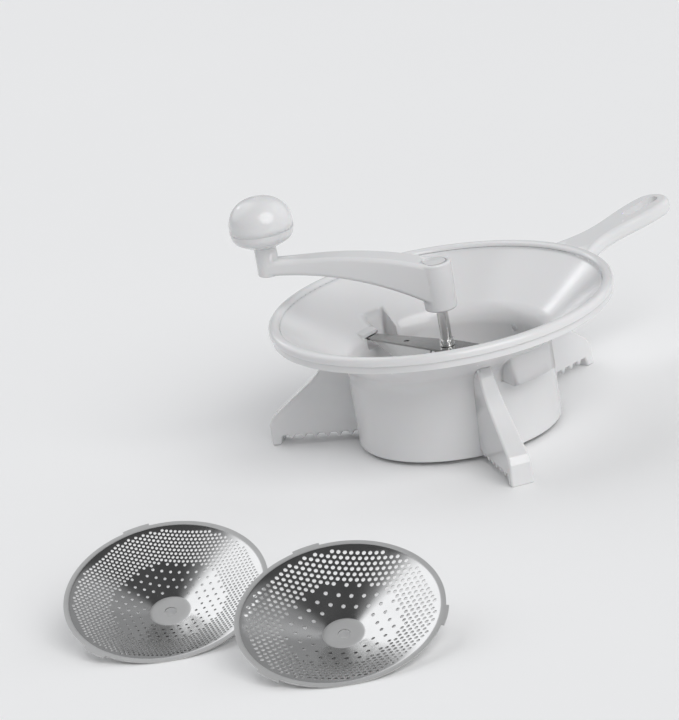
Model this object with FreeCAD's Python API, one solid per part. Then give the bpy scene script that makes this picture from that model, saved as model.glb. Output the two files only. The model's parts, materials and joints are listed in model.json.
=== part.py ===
import FreeCAD, Part
import math
import os

# Hand food mill. A funnel-shaped bowl on three toothed legs holds a perforated disc in
# its drum. A crank turns a slanted blade on the disc, and a spring under a cross bar
# presses the blade down. The bar's ends are caught in two niches of the bowl.
#
# Millimetres. Z is the crank axis, z = 0 is the surface under the leg tips, and the
# handle points along +X. Angles are in degrees from +X, anticlockwise from above.

Vector = FreeCAD.Vector
UP = Vector(0, 0, 1)
ORIGIN = Vector(0, 0, 0)

# Bowl: rim, funnel and drum
rim_radius = 120.0
rim_height = 97.0
rim_width = 8.0
rim_rise = 4.3
bead_height = 6.0
bead_wall = 3.4
skirt_height = 11.0
skirt_inset = 1.4
skirt_wall = 2.2
wall = 2.6
funnel_slope = 36.0
drum_inner_radius = 68.4
drum_bottom = 3.0
throat_rounding = 18.0

# Seat of the fitted disc inside the drum, and the ribs that keep it from turning
ledge_height = 26.0
ledge_thickness = 2.4
ledge_overlap = 2.4
stop_width = 2.4
stop_gap = 0.6
stop_height = 6.0

# Perforated discs
disc_side_gap = 2.4
disc_flange = 3.4
disc_depth = 18.0
disc_hub_radius = 13.0
disc_sheet = 0.8
disc_bend = 2.0
disc_edge = 2.0
tab_width = 15.0
tab_reach = 1.9
tab_count = 3
tab_lead = 60.0
dense_band = 28.0
# hole diameter, pitch of the dense ring, pitch of the sparse field round the hub
fine_holes = (2.0, 5.8, 11.6)
medium_holes = (2.4, 7.0, 14.0)
coarse_holes = (2.7, 8.2, 16.4)
# the two loose discs lie in front of the mill and beside each other
loose_disc_distance = 227.0
loose_disc_gap = 2.0
coarse_disc_bearing = 217.8
fine_disc_bearing = 105.0
loose_disc_facing = -128.5
loose_disc_turn = 45.0

# Legs
leg_count = 3
leg_lead = 7.5
leg_overhang = 14.8
leg_end_height = 20.0
leg_end_bevel = 2.5
leg_top_rise = 8.0
leg_crown = 10.0
leg_crown_share = 0.15
leg_elbow = (0.3675, 0.525)
leg_elbow_rounding = 60.0
leg_width = 17.0
leg_draft = 3.4
leg_edge_rounding = 1.6
tooth_pitch = 8.7
tooth_height = 3.6
tooth_tip_height = 3.0
leg_hook_length = 6.0
leg_hook_gap = 2.0
peg_radius = 2.5
peg_rises = (10.0, 24.0)
peg_root = 4.0

# Handle
handle_length = 94.0
handle_drop = 3.5
handle_tilt = 7.0
handle_thickness = 10.4
handle_base_width = 46.0
handle_flare = 2.0
handle_root = 6.0
handle_waist_distance = 26.0
handle_waist_width = 25.0
handle_end_width = 29.0
handle_edge_rounding = 3.6
hang_slot_length = 32.0
hang_slot_width = 9.6
hang_slot_setback = 8.0
tongue_width = 18.0
tongue_thickness = 4.0
tongue_length = 26.0
handle_screw_radius = 1.6
handle_screw_head_radius = 3.0
handle_screw_head = 1.8
screw_slot_width = 0.8
screw_slot_depth = 1.2

# Cross bar and its niches
bar_angle = 100.0
bar_lift = 0.8
bar_overhang = 12.6
bar_mid_width = 20.0
bar_tip_width = 8.0
bar_sheet = 1.5
bar_corner = 2.5
punch_radius = 2.0
punch_place = (36.0, 1.5)
vane_start = 8.0
vane_shoulder = 16.0
vane_depth = 17.0
vane_end_depth = 0.8
vane_slope = 55.0
lock_turn = 12.0
lock_margin = 1.0
niche_margin = 2.5
niche_side_gap = 1.03
niche_depth = 8.4
catch_height = 7.0
catch_lip = 2.4

# Shaft, blade and spring
shaft_radius = 3.9
shaft_tail = 4.0
shaft_flat_depth = 1.0
collar_radius = 5.2
collar_height = 4.4
collar_dents = 6
dent_radius = 0.9
dent_floor = 1.2
blade_hub_radius = 7.0
blade_hub_rise = 6.3
blade_end_gap = 3.0
blade_slant = 42.0
blade_width_inner = 15.0
blade_width_outer = 9.0
blade_sheet = 1.5
blade_pin_radius = 1.25
blade_pin_drop = 6.0
washer_radius = 10.0
washer_sheet = 1.2
spring_radius = 7.6
spring_wire = 1.5
spring_turns = 5

# Crank arm and knob
crank_angle = 128.5
crank_radius = 117.0
hub_radius = 11.7
hub_draft = 0.4
hub_dip = 7.8
hub_height = 33.3
hub_crown = 0.8
arm_depth_hub = 30.0
arm_depth_boss = 10.5
arm_rise = 12.5
arm_width_hub = 22.0
arm_width_boss = 15.5
arm_arch_shares = (0.37, 0.5)
arm_arch_reach = 0.85
arm_edge_rounding = 3.2
boss_radius = 7.8
boss_rise = 10.7
boss_drop = 0.5
boss_floor = 3.0
cap_radius = 8.0
cap_thickness = 2.6
cap_crown = 0.4
hub_screw_radius = 1.9
hub_screw_length = 10.0
hub_screw_head_radius = 3.9
hub_screw_head = 2.6
hub_floor = 3.0
hub_well = 6.0
knob_radius = 22.3
knob_draft = 1.2
knob_neck_radius = 11.5
knob_base_height = 11.9
knob_dome_height = 23.4
knob_dome_drop = 4.0
knob_dome_rounding = 18.5
knob_wall = 2.2
knob_floor = 6.0
knob_flank = 6.5
spigot_depth = 1.6
spigot_wall = 1.4
spindle_radius = 3.5
spindle_stem_radius = 3.0
spindle_head_radius = 6.0
spindle_head = 2.0

# Clearances, and how far pieces that are made as one run into each other
running_fit = 0.08
snug_fit = 0.05
seat_gap = 0.1
rub_gap = 0.3
blade_gap = 0.8
overlap = 0.5

# Rounding of small edges and of larger ones
fine_edge = 0.4
small_edge = 0.8
large_edge = 1.5


def rounded_wire(corners):
    """Close an outline in the XZ plane; each corner is (x, z, rounding radius)."""
    edges = []
    starts = []
    ends = []
    count = len(corners)
    for i, (x, z, radius) in enumerate(corners):
        here = Vector(x, 0, z)
        back = (Vector(corners[i - 1][0], 0, corners[i - 1][1]) - here).normalize()
        following = corners[(i + 1) % count]
        ahead = (Vector(following[0], 0, following[1]) - here).normalize()
        if radius <= 0:
            starts.append(here)
            ends.append(here)
            continue
        half_turn = (math.pi - back.getAngle(ahead)) / 2
        reach = radius * math.tan(half_turn)
        inward = (back + ahead).normalize()
        middle = here + inward * (radius / math.cos(half_turn) - radius)
        starts.append(here + back * reach)
        ends.append(here + ahead * reach)
        edges.append(Part.Arc(starts[-1], middle, ends[-1]).toShape())
    for i in range(count):
        begin, finish = ends[i], starts[(i + 1) % count]
        if begin.distanceToPoint(finish) > 1e-6:
            edges.append(Part.LineSegment(begin, finish).toShape())
    return Part.Wire(Part.__sortEdges__(edges))


def turned_solid(corners, angle=360.0, start=0.0):
    """Spin an outline (radius, z, rounding) round the Z axis."""
    solid = Part.Face(rounded_wire(corners)).revolve(ORIGIN, UP, angle)
    return spun(solid, start)


def spun(shape, angle):
    """Copy of a shape turned about the crank axis."""
    copy = shape.copy()
    copy.rotate(ORIGIN, UP, angle)
    return copy


def moved(shape, x, y, z):
    """Copy of a shape moved by x, y, z."""
    copy = shape.copy()
    copy.translate(Vector(x, y, z))
    return copy


def sector(r_in, r_out, z_low, z_high, start, end):
    """Ring segment between two radii, two heights and two angles."""
    corners = [(r_in, z_low, 0), (r_out, z_low, 0), (r_out, z_high, 0), (r_in, z_high, 0)]
    return turned_solid(corners, end - start, start)


def rod(radius, z_low, z_high, x=0.0, y=0.0):
    """Upright cylinder."""
    return Part.makeCylinder(radius, z_high - z_low, Vector(x, y, z_low), UP)


def ring(r_in, r_out, z_low, z_high):
    """Upright tube."""
    return rod(r_out, z_low, z_high).cut(rod(r_in, z_low - 1, z_high + 1))


def block(x_low, x_high, y_low, y_high, z_low, z_high):
    """Box between two corners."""
    size = (x_high - x_low, y_high - y_low, z_high - z_low)
    return Part.makeBox(*size, Vector(x_low, y_low, z_low))


def eased(shape, radius, wanted):
    """Round the edges that the test picks out."""
    edges = [edge for edge in shape.Edges if wanted(edge)]
    return shape.makeFillet(radius, edges)


drum_radius = drum_inner_radius + wall
slope = math.tan(math.radians(funnel_slope))
funnel_drop = wall / math.cos(math.radians(funnel_slope))
rim_inner_radius = rim_radius - rim_width
skirt_radius = rim_radius - skirt_inset
throat_height = rim_height - rim_rise - slope * (rim_inner_radius - drum_inner_radius)
clear_height = rim_height * 2

disc_radius = drum_inner_radius - disc_side_gap
disc_seat_radius = disc_radius - ledge_overlap
disc_seat = ledge_height - disc_depth
dense_start = disc_radius - dense_band

leg_angles = [leg_lead + 360.0 * i / leg_count for i in range(leg_count)]
leg_reach = rim_radius + leg_overhang
leg_span = leg_reach - drum_inner_radius
leg_top_height = throat_height + leg_top_rise
peg_heights = [ledge_height + rise for rise in peg_rises]

handle_reach = rim_radius + handle_length
handle_top = rim_height - handle_drop
handle_bottom = handle_top - handle_thickness
handle_middle = handle_top - handle_thickness / 2

bar_top = throat_height + bar_lift
bar_bottom = bar_top - bar_sheet
bar_half_length = drum_inner_radius + bar_overhang
bar_taper = (bar_mid_width - bar_tip_width) / 2 / bar_half_length
bar_side = bar_mid_width / 2 - bar_taper * drum_inner_radius
niche_after = math.degrees(math.asin((bar_side + niche_side_gap) / drum_inner_radius))
niche_before = lock_turn + niche_after + lock_margin
catch_before = lock_turn - niche_after - lock_margin
niche_radius = bar_half_length + niche_margin
niche_roof = bar_top + rub_gap
niche_floor = bar_top - niche_depth

shaft_bottom = disc_seat - shaft_tail
blade_foot = disc_seat + disc_sheet + blade_gap
blade_hub_top = ledge_height + blade_hub_rise
blade_outer_radius = disc_radius - disc_flange - blade_end_gap
spring_foot = blade_hub_top + rub_gap + washer_sheet
spring_head = bar_bottom - washer_sheet

hub_bottom = rim_height - hub_dip
hub_top = hub_bottom + hub_height
shaft_top = hub_top - cap_thickness - hub_well - hub_floor
boss_level = hub_top + arm_rise
boss_low = boss_level - arm_depth_boss - boss_drop
boss_top = boss_level + boss_rise
knob_bottom = boss_top + rub_gap
knob_inside_floor = knob_bottom + knob_floor
knob_seam = boss_top + knob_base_height
knob_top_height = knob_seam + knob_dome_height
spindle_seat = knob_inside_floor + rub_gap


def funnel_height(radius):
    """Height of the food side of the funnel at a radius."""
    return throat_height + slope * (radius - drum_inner_radius)


def bowl_outside():
    """Corners of the outside of the bowl, from the rim's inner wall to the drum's foot."""
    under_bead = rim_height - bead_wall
    inner_wall = rim_inner_radius + wall
    return [
        (rim_radius, rim_height - bead_height, small_edge),
        (skirt_radius, rim_height - bead_height, small_edge),
        (skirt_radius, rim_height - skirt_height, fine_edge),
        (skirt_radius - skirt_wall, rim_height - skirt_height, fine_edge),
        (skirt_radius - skirt_wall, under_bead, small_edge),
        (inner_wall, under_bead, fine_edge),
        (inner_wall, funnel_height(inner_wall) - funnel_drop, 0),
        (drum_radius, funnel_height(drum_radius) - funnel_drop, throat_rounding),
        (drum_radius, drum_bottom, small_edge),
    ]


def bowl_shell():
    """Rim, funnel, drum and the ledge under the disc, as one turned wall."""
    ledge_radius = disc_seat_radius
    ledge_under = ledge_height - ledge_thickness
    corners = [
        (drum_inner_radius, drum_bottom, small_edge),
        (drum_inner_radius, ledge_under - (drum_inner_radius - ledge_radius), large_edge),
        (ledge_radius, ledge_under, fine_edge),
        (ledge_radius, ledge_height, fine_edge),
        (drum_inner_radius, ledge_height, 0),
        (drum_inner_radius, throat_height, throat_rounding),
        (rim_inner_radius, funnel_height(rim_inner_radius), 2 * large_edge),
        (rim_inner_radius, rim_height, rim_width / 2 - fine_edge),
        (rim_radius, rim_height, rim_width / 2 - fine_edge),
    ]
    return turned_solid(corners + bowl_outside())


def niche_places():
    """Angles of the two bar ends."""
    return [bar_angle, bar_angle + 180.0]


def catch_tab(start, end):
    """Tab over the end of the bar, with a sloping top that runs into the funnel."""
    tip = drum_radius - overlap
    return turned_solid([
        (tip, niche_roof, 0), (niche_radius, niche_roof, 0),
        (niche_radius, niche_roof + catch_height, 0), (tip, niche_roof + catch_lip, fine_edge),
    ], end - start, start)


def with_niches(bowl):
    """Add the two niches that catch the bar's ends, each with an open entry beside it."""
    below_funnel = turned_solid([
        (drum_inner_radius, niche_floor - wall, 0),
        (niche_radius + wall, niche_floor - wall, 0),
        (niche_radius + wall, funnel_height(niche_radius + wall), 0),
        (drum_inner_radius, throat_height, 0),
    ])
    side = math.degrees(wall / niche_radius)
    top = rim_height
    for angle in niche_places():
        start = angle - niche_before
        end = angle + niche_after
        bump = sector(drum_inner_radius + overlap, niche_radius + wall, niche_floor - wall, top,
                      start - side, end + side)
        bowl = bowl.fuse([bump.common(below_funnel),
                          catch_tab(angle - catch_before, end + side)])
        room = sector(disc_seat_radius, niche_radius, niche_floor, niche_roof, start, end)
        entry = sector(disc_seat_radius, niche_radius, niche_floor, top,
                       start, angle - catch_before)
        bowl = bowl.cut([room, entry])
    return bowl


def disc_stops():
    """Pairs of small ribs on the drum wall that keep the disc's tabs from turning."""
    half_tab = math.degrees(tab_width / 2 / disc_radius)
    rib = math.degrees(stop_width / disc_radius)
    gap = math.degrees(stop_gap / disc_radius)
    ribs = []
    for i in range(tab_count):
        middle = tab_angle(i)
        for start in (middle - half_tab - gap - rib, middle + half_tab + gap):
            ribs.append(sector(disc_radius + rub_gap, drum_inner_radius + overlap,
                               ledge_height - overlap, ledge_height + stop_height,
                               start, start + rib))
    return ribs


def tab_angle(i):
    """Bearing of a disc tab in the fitted disc."""
    return tab_lead + 360.0 * i / tab_count


def tilted(shape):
    """Copy of a level handle piece, tipped up about the rim."""
    copy = shape.copy()
    copy.rotate(Vector(rim_radius, 0, handle_middle), Vector(0, 1, 0), -handle_tilt)
    return copy


def handle_tongue():
    """Flat tongue on the rim's skirt that the handle slides over."""
    half = tongue_thickness / 2
    bar = block(skirt_radius - skirt_wall + overlap, rim_radius + tongue_length,
                -tongue_width / 2, tongue_width / 2, handle_middle - half, handle_middle + half)
    return tilted(eased(bar, large_edge, lambda e: e.BoundBox.ZLength > half
                        and e.CenterOfMass.x > rim_radius))


def handle_screw_places():
    """Distance of the two handle screws from the crank axis."""
    return [rim_radius + tongue_length * share for share in (0.35, 0.75)]


def peg(angle, height, radius, r_in, r_out):
    """Radial rod through the drum wall."""
    along = Part.makeCylinder(radius, r_out - r_in, Vector(r_in, 0, height), Vector(1, 0, 0))
    return spun(along, angle)


def bowl_body():
    """The bowl with its niches, disc stops, handle tongue and fastening holes."""
    bowl = with_niches(bowl_shell()).fuse(disc_stops() + [handle_tongue()])
    holes = [peg(angle, z, peg_radius + snug_fit, disc_seat_radius, drum_radius + peg_root)
             for angle in leg_angles for z in peg_heights]
    holes += [tilted(rod(handle_screw_radius + snug_fit, 0, rim_height, x))
              for x in handle_screw_places()]
    return bowl.cut(holes).removeSplitter()


def leg_outline():
    """Side view of a leg: hollow upper edge, blunt end, hook and saw teeth below."""
    inside = drum_inner_radius
    crown = leg_top_height + leg_crown
    elbow_x = inside + leg_elbow[0] * leg_span
    elbow_z = leg_end_height + leg_elbow[1] * (crown - leg_end_height)
    root = tooth_tip_height + tooth_height
    corners = [
        (inside, crown, 0),
        (inside + leg_crown_share * leg_span, crown, 0),
        (elbow_x, elbow_z, leg_elbow_rounding),
        (leg_reach - leg_end_bevel, leg_end_height, 2 * leg_edge_rounding),
        (leg_reach, leg_end_height - 2 * leg_end_bevel, leg_edge_rounding),
        (leg_reach, 0, small_edge),
        (leg_reach - leg_hook_length, 0, small_edge),
    ]
    first = leg_reach - leg_hook_length - leg_hook_gap
    tooth_count = int((first - drum_radius) / tooth_pitch)
    for i in range(tooth_count):
        x = first - i * tooth_pitch
        corners.append((x, root, small_edge))
        corners.append((x - tooth_pitch * 0.5, root, small_edge))
        corners.append((x - tooth_pitch * 0.75, tooth_tip_height, small_edge))
    corners.append((first - tooth_count * tooth_pitch, root, small_edge))
    corners.append((inside, root, 0))
    return corners


def bowl_envelope():
    """Everything inside the bowl's outer surface, grown by the seat gap."""
    outside = bowl_outside()[5:]
    corners = [(r + seat_gap, z - seat_gap, rounding) for r, z, rounding in outside]
    top = rim_height
    return turned_solid([(0, top, 0), (corners[0][0], top, 0)] + corners[1:]
                        + [(0, corners[-1][1], 0)])


def leg():
    """One leg, pointing along +X, with two pegs that are staked into the drum wall."""
    half = leg_width / 2
    plate = Part.Face(rounded_wire(leg_outline())).extrude(Vector(0, leg_width, 0))
    plate = moved(plate, 0, -half, 0)
    lean = math.degrees(math.atan2(leg_draft, leg_top_height))
    for side in (1, -1):
        trim = block(0, rim_radius * 2, 0, leg_width, -leg_width, clear_height)
        trim.rotate(ORIGIN, Vector(1, 0, 0), lean)
        if side < 0:
            trim = trim.mirror(ORIGIN, Vector(0, 1, 0))
        plate = plate.cut(moved(trim, 0, side * half, 0))
    plate = plate.cut(bowl_envelope())
    plate = eased(plate, leg_edge_rounding, is_leg_edge)
    pegs = [peg(0, z, peg_radius, drum_inner_radius + seat_gap, drum_radius + peg_root)
            for z in peg_heights]
    return plate.fuse(pegs).removeSplitter()


def is_leg_edge(edge):
    """Long edges along the leg's upper side and down its blunt end."""
    box = edge.BoundBox
    middle = edge.CenterOfMass
    outer = box.XMin > drum_inner_radius + 0.25 * leg_span and box.XLength > fine_edge
    upper = box.ZMin > leg_end_height / 2
    return outer and upper and abs(middle.y) > leg_width / 2 - leg_draft - overlap


def handle_outline():
    """Plan of the handle: flared root, waist and round end."""
    root = rim_radius - handle_root
    waist = rim_radius + handle_waist_distance
    end = handle_end()
    base = handle_base_width / 2 + handle_flare
    thin, wide = handle_waist_width / 2, handle_end_width / 2
    stations = [(root, base), (rim_radius + handle_root, (base + thin) / 2), (waist, thin),
                ((waist + end) / 2, (thin + wide) / 2), (end, wide)]
    side = Part.BSplineCurve()
    side.interpolate([Vector(x, y, 0) for x, y in stations])
    near = side.toShape()
    far = near.mirror(ORIGIN, Vector(0, 1, 0))
    tip = Part.Arc(Vector(end, wide, 0), Vector(handle_reach, 0, 0), Vector(end, -wide, 0))
    close = Part.LineSegment(Vector(root, base, 0), Vector(root, -base, 0))
    return Part.Wire(Part.__sortEdges__([near, tip.toShape(), far, close.toShape()]))


def handle_end():
    """Where the handle's round end begins."""
    return handle_reach - handle_end_width / 2


def hang_slot():
    """Round-ended slot near the end of the handle."""
    middle = handle_end() - hang_slot_setback
    half_length, half_width = hang_slot_length / 2, hang_slot_width / 2
    slot = block(middle - half_length, middle + half_length, -half_width, half_width,
                 0, rim_height)
    return eased(slot, half_width - seat_gap, lambda e: e.BoundBox.ZLength > rim_height / 2)


def handle():
    """Handle that slides over the tongue, with a hanging slot and two sunk screw holes."""
    body = Part.Face(handle_outline()).extrude(Vector(0, 0, handle_thickness))
    body = moved(body, 0, 0, handle_bottom)
    body = eased(body, handle_edge_rounding,
                 lambda e: e.BoundBox.ZLength < seat_gap and e.BoundBox.XMax > rim_radius)
    half = tongue_thickness / 2 + snug_fit
    side = tongue_width / 2 + snug_fit
    pocket = block(0, rim_radius + tongue_length + snug_fit, -side, side,
                   handle_middle - half, handle_middle + half)
    cuts = [hang_slot(), pocket]
    for x in handle_screw_places():
        cuts.append(rod(handle_screw_radius + snug_fit, 0, handle_middle, x))
        cuts.append(rod(handle_screw_head_radius + seat_gap, 0, handle_bottom + handle_screw_head, x))
    body = tilted(body.cut(cuts))
    return body.cut(rod(rim_radius + seat_gap, 0, clear_height)).removeSplitter()


def cross_slot(x, half_length, z_low, z_high):
    """Cross-shaped recess of a screw head."""
    half = screw_slot_width / 2
    return [block(x - half_length, x + half_length, -half, half, z_low, z_high),
            block(x - half, x + half, -half_length, half_length, z_low, z_high)]


def handle_screws():
    """Two pan head screws, driven upwards through the handle into the tongue."""
    seat = handle_bottom + handle_screw_head
    tip = handle_middle + tongue_thickness / 2
    screws = []
    for x in handle_screw_places():
        head = rod(handle_screw_head_radius, handle_bottom + rub_gap, seat, x)
        slot = cross_slot(x, handle_screw_radius, handle_bottom, handle_bottom + screw_slot_depth)
        screws.append(head.cut(slot).fuse(rod(handle_screw_radius, seat - overlap, tip, x)))
    return tilted(Part.makeCompound(screws))


def hole_grid(pitch, r_from, r_to):
    """Centres of a staggered grid of holes between two radii."""
    row_step = pitch * math.sqrt(3) / 2
    rows = int(r_to / row_step) + 1
    columns = int(r_to / pitch) + 1
    places = []
    for row in range(-rows, rows + 1):
        shift = pitch / 2 if row % 2 else 0.0
        for column in range(-columns - 1, columns + 1):
            x, y = column * pitch + shift, row * row_step
            if r_from <= math.hypot(x, y) <= r_to:
                places.append((x, y))
    return places


def disc_blank():
    """Dished sheet with a flat hub and a flat rim with rounded tabs; hub underside at z = 0."""
    inner = disc_radius - disc_flange
    sheet = disc_sheet
    rise = disc_depth
    dish = turned_solid([
        (0, 0, 0), (disc_hub_radius, 0, disc_bend), (inner, rise, disc_bend),
        (disc_radius, rise, 0), (disc_radius, rise + sheet, 0),
        (inner, rise + sheet, disc_bend), (disc_hub_radius, sheet, disc_bend), (0, sheet, 0),
    ])
    tabs = []
    for i in range(tab_count):
        tab = block(disc_radius - tab_reach, disc_radius + tab_reach,
                    -tab_width / 2, tab_width / 2, rise, rise + sheet)
        tab = eased(tab, tab_reach, lambda e: e.BoundBox.ZLength > sheet / 2
                    and e.BoundBox.XLength < seat_gap and e.CenterOfMass.x > disc_radius)
        tabs.append(spun(tab, tab_angle(i)))
    return dish.fuse(tabs)


def perforated_disc(holes):
    """Dished disc with a dense ring of holes and a sparse field round the hub."""
    diameter, dense_pitch, sparse_pitch = holes
    margin = diameter / 2 + disc_edge
    outer = disc_radius - disc_flange - diameter / 2
    places = hole_grid(dense_pitch, dense_start, outer)
    places += hole_grid(sparse_pitch, disc_hub_radius + margin, dense_start - dense_pitch / 2)
    below = -disc_sheet
    circles = [(disc_radius + 2 * tab_reach, 0, 0), (shaft_radius + running_fit, 0, 0)]
    circles += [(diameter / 2, x, y) for x, y in places]
    rings = [Part.Wire(Part.makeCircle(radius, Vector(x, y, below))) for radius, x, y in circles]
    holed = Part.Face(rings, "Part::FaceMakerBullseye")
    holed = holed.extrude(Vector(0, 0, disc_depth + 3 * disc_sheet))
    return disc_blank().common(holed)


def toward(distance, bearing):
    """Point on the floor at a distance and a bearing."""
    angle = math.radians(bearing)
    return Vector(distance * math.cos(angle), distance * math.sin(angle), 0)


def coarse_disc_centre():
    """Where the coarse disc lies, clear of the drum and the legs."""
    return toward(drum_radius + disc_radius + loose_disc_distance, coarse_disc_bearing)


def fine_disc_centre():
    """Where the fine disc lies, beside the coarse one."""
    spacing = 2 * (disc_radius + tab_reach) + loose_disc_gap
    return coarse_disc_centre() + toward(spacing, fine_disc_bearing)


def loose_disc(holes, centre):
    """Disc lying on its dished flank on the floor, open side tipped to one bearing."""
    tilt = math.degrees(math.atan2(disc_depth, disc_radius - disc_flange - disc_hub_radius))
    disc = spun(perforated_disc(holes), loose_disc_turn)
    disc.rotate(ORIGIN, Vector(1, 0, 0), tilt)
    disc = spun(disc, loose_disc_facing + 90.0)
    lift = -disc.optimalBoundingBox(False).ZMin
    return moved(disc, centre.x, centre.y, lift)


def cross_bar():
    """Tapered flat bar with a slanted stiffening vane along one edge of each half."""
    middle, tip, reach = bar_mid_width / 2, bar_tip_width / 2, bar_half_length
    points = [(reach, -tip), (reach, tip), (0, middle), (-reach, tip), (-reach, -tip), (0, -middle)]
    outline = Part.makePolygon([Vector(x, y, bar_bottom) for x, y in points + points[:1]])
    bar = Part.Face(outline).extrude(Vector(0, 0, bar_sheet))
    bar = eased(bar, bar_corner, lambda e: e.BoundBox.ZLength > bar_sheet / 2
                and abs(e.CenterOfMass.x) > reach / 2)
    vane = bar_vane()
    bar = bar.fuse([vane, spun(vane, 180.0)])
    hole = rod(punch_radius, 0, rim_height, *punch_place)
    punched = [hole, spun(hole, 180.0)]
    bar = bar.cut(punched + [rod(shaft_radius + running_fit, 0, rim_height)])
    return spun(bar.removeSplitter(), bar_angle)


def bar_vane():
    """Tapered vane, deepest beside the shaft, bent down from the bar's edge."""
    edge_angle = -math.degrees(math.atan(bar_taper))
    length = drum_inner_radius - niche_margin
    corners = [(vane_start, 0), (length, 0), (length, -vane_end_depth),
               (vane_shoulder, -vane_depth), (vane_start, -vane_depth)]
    outline = Part.makePolygon([Vector(x, y, 0) for x, y in corners + corners[:1]])
    vane = Part.Face(outline).extrude(Vector(0, 0, bar_sheet))
    vane.rotate(ORIGIN, Vector(1, 0, 0), 180.0 - vane_slope)
    vane = spun(vane, edge_angle)
    return moved(vane, 0, bar_mid_width / 2 - overlap, bar_bottom + overlap)


def washer(z_low, z_high):
    """Flat ring with a running fit on the shaft."""
    return ring(shaft_radius + running_fit, washer_radius, z_low, z_high)


def upper_washer():
    """Spring seat against the underside of the bar."""
    return washer(spring_head, bar_bottom)


def thrust_washer():
    """Spring seat that rides on the blade's hub."""
    return washer(blade_hub_top + rub_gap, spring_foot)


def arc_from(start, corner, end):
    """Arc that leaves start towards corner and arrives at end from corner."""
    spread = (corner - start).getAngle(end - corner)
    weight = math.cos(spread / 2)
    middle = (start + corner * (2 * weight) + end) * (1 / (2 + 2 * weight))
    return Part.Arc(start, middle, end).toShape()


def biarc(p0, t0, p1, t1):
    """Two arcs with one tangent between two points of a curve."""
    chord = p1 - p0
    total = t0 + t1
    a = total.dot(total) - 4.0
    b = -2.0 * chord.dot(total)
    c = chord.dot(chord)
    reach = (-b - math.sqrt(b * b - 4 * a * c)) / (2 * a)
    q0 = p0 + t0 * reach
    q1 = p1 - t1 * reach
    joint = (q0 + q1) * 0.5
    return [arc_from(p0, q0, joint), arc_from(joint, q1, p1)]


def press_spring():
    """Coil spring between the two washers, wound as one tube."""
    low = spring_foot + spring_wire / 2 + seat_gap
    high = spring_head - spring_wire / 2 - seat_gap
    pitch = (high - low) / spring_turns
    climb = pitch / (2 * math.pi)

    def at(turn):
        a = 2 * math.pi * turn
        return Vector(spring_radius * math.cos(a), spring_radius * math.sin(a), low + pitch * turn)

    def heading(turn):
        a = 2 * math.pi * turn
        return Vector(-spring_radius * math.sin(a), spring_radius * math.cos(a), climb).normalize()

    edges = []
    for quarter in range(4 * spring_turns):
        begin, finish = quarter / 4, (quarter + 1) / 4
        edges += biarc(at(begin), heading(begin), at(finish), heading(finish))
    section = Part.Wire(Part.makeCircle(spring_wire / 2, at(0), heading(0)))
    tube = Part.Wire(edges).makePipeShell([section], True, False)
    print("spring: least gap between turns", round(self_gap(at, spring_turns) - spring_wire, 2))
    return tube


def self_gap(at, turns, steps=48):
    """Least distance between points of a coil that are over half a turn apart."""
    points = [at(i / steps) for i in range(turns * steps + 1)]
    return min(points[i].distanceToPoint(points[j])
               for i in range(len(points)) for j in range(i + steps // 2, len(points)))


def blade_wing():
    """Flat slanted wing whose lower edge follows the dish of the fitted disc."""
    run = disc_radius - disc_flange - disc_hub_radius
    rise = disc_depth / run
    base = blade_foot + rub_gap
    r_in, r_out = blade_hub_radius - blade_sheet, blade_outer_radius
    low_in = Vector(r_in, 0, base)
    low_out = Vector(r_out, 0, base + rise * (r_out - disc_hub_radius))
    knee = Vector(disc_hub_radius, 0, base)
    lean = Vector(0, math.cos(math.radians(blade_slant)), math.sin(math.radians(blade_slant)))
    corners = [knee, low_out, low_out + lean * blade_width_outer, knee + lean * blade_width_inner]
    normal = (low_out - knee).cross(lean).normalize() * blade_sheet
    wing = Part.Face(Part.makePolygon(corners + corners[:1])).extrude(normal)
    root = [low_in, knee, knee + lean * blade_width_inner, low_in + lean * blade_width_inner]
    normal = (knee - low_in).cross(lean).normalize() * blade_sheet
    return wing.fuse(Part.Face(Part.makePolygon(root + root[:1])).extrude(normal))


def press_blade():
    """Round hub pinned to the shaft, with two wings that press food through the disc."""
    hub = rod(blade_hub_radius, blade_foot, blade_hub_top)
    wing = blade_wing()
    blade = hub.fuse([wing, spun(wing, 180.0)])
    blade = blade.cut([rod(shaft_radius + snug_fit, 0, rim_height), blade_pin_bore(snug_fit)])
    return spun(blade.removeSplitter(), crank_angle)


def blade_pin_bore(extra):
    """Cross rod through the blade's hub and the shaft."""
    half = blade_hub_radius - seat_gap
    height = blade_hub_top - blade_pin_drop
    return Part.makeCylinder(blade_pin_radius + extra, 2 * half + 2 * extra,
                             Vector(0, -half - extra, height), Vector(0, 1, 0))


def blade_pin():
    """Pin that makes the blade turn with the shaft."""
    return spun(blade_pin_bore(0.0), crank_angle)


def drive_flat(extra):
    """What is cut away beside the flat on the shaft's upper end."""
    reach = shaft_radius * 2
    return block(shaft_radius - shaft_flat_depth + extra, reach, -reach, reach,
                 hub_bottom + shaft_radius, clear_height)


def crank_shaft():
    """Shaft with a drive flat, a tapped top and a cross hole for the blade's pin."""
    shaft = rod(shaft_radius, shaft_bottom, shaft_top)
    shaft = eased(shaft, small_edge, lambda e: e.BoundBox.ZMax < shaft_bottom + seat_gap)
    thread = rod(hub_screw_radius + snug_fit, shaft_top - hub_screw_length - 1, clear_height)
    shaft = shaft.cut([drive_flat(0.0), thread, blade_pin_bore(snug_fit)])
    return spun(shaft, crank_angle)


def shaft_collar():
    """Crimped star collar on the shaft, just above the bar."""
    low = bar_top + rub_gap
    collar = ring(shaft_radius + snug_fit, collar_radius, low, low + collar_height)
    dent = rod(dent_radius, low + dent_floor, low + collar_height + 1, collar_radius + dent_radius / 3)
    dents = [spun(dent, 360.0 * i / collar_dents) for i in range(collar_dents)]
    return spun(collar.cut(dents), crank_angle)


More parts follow.
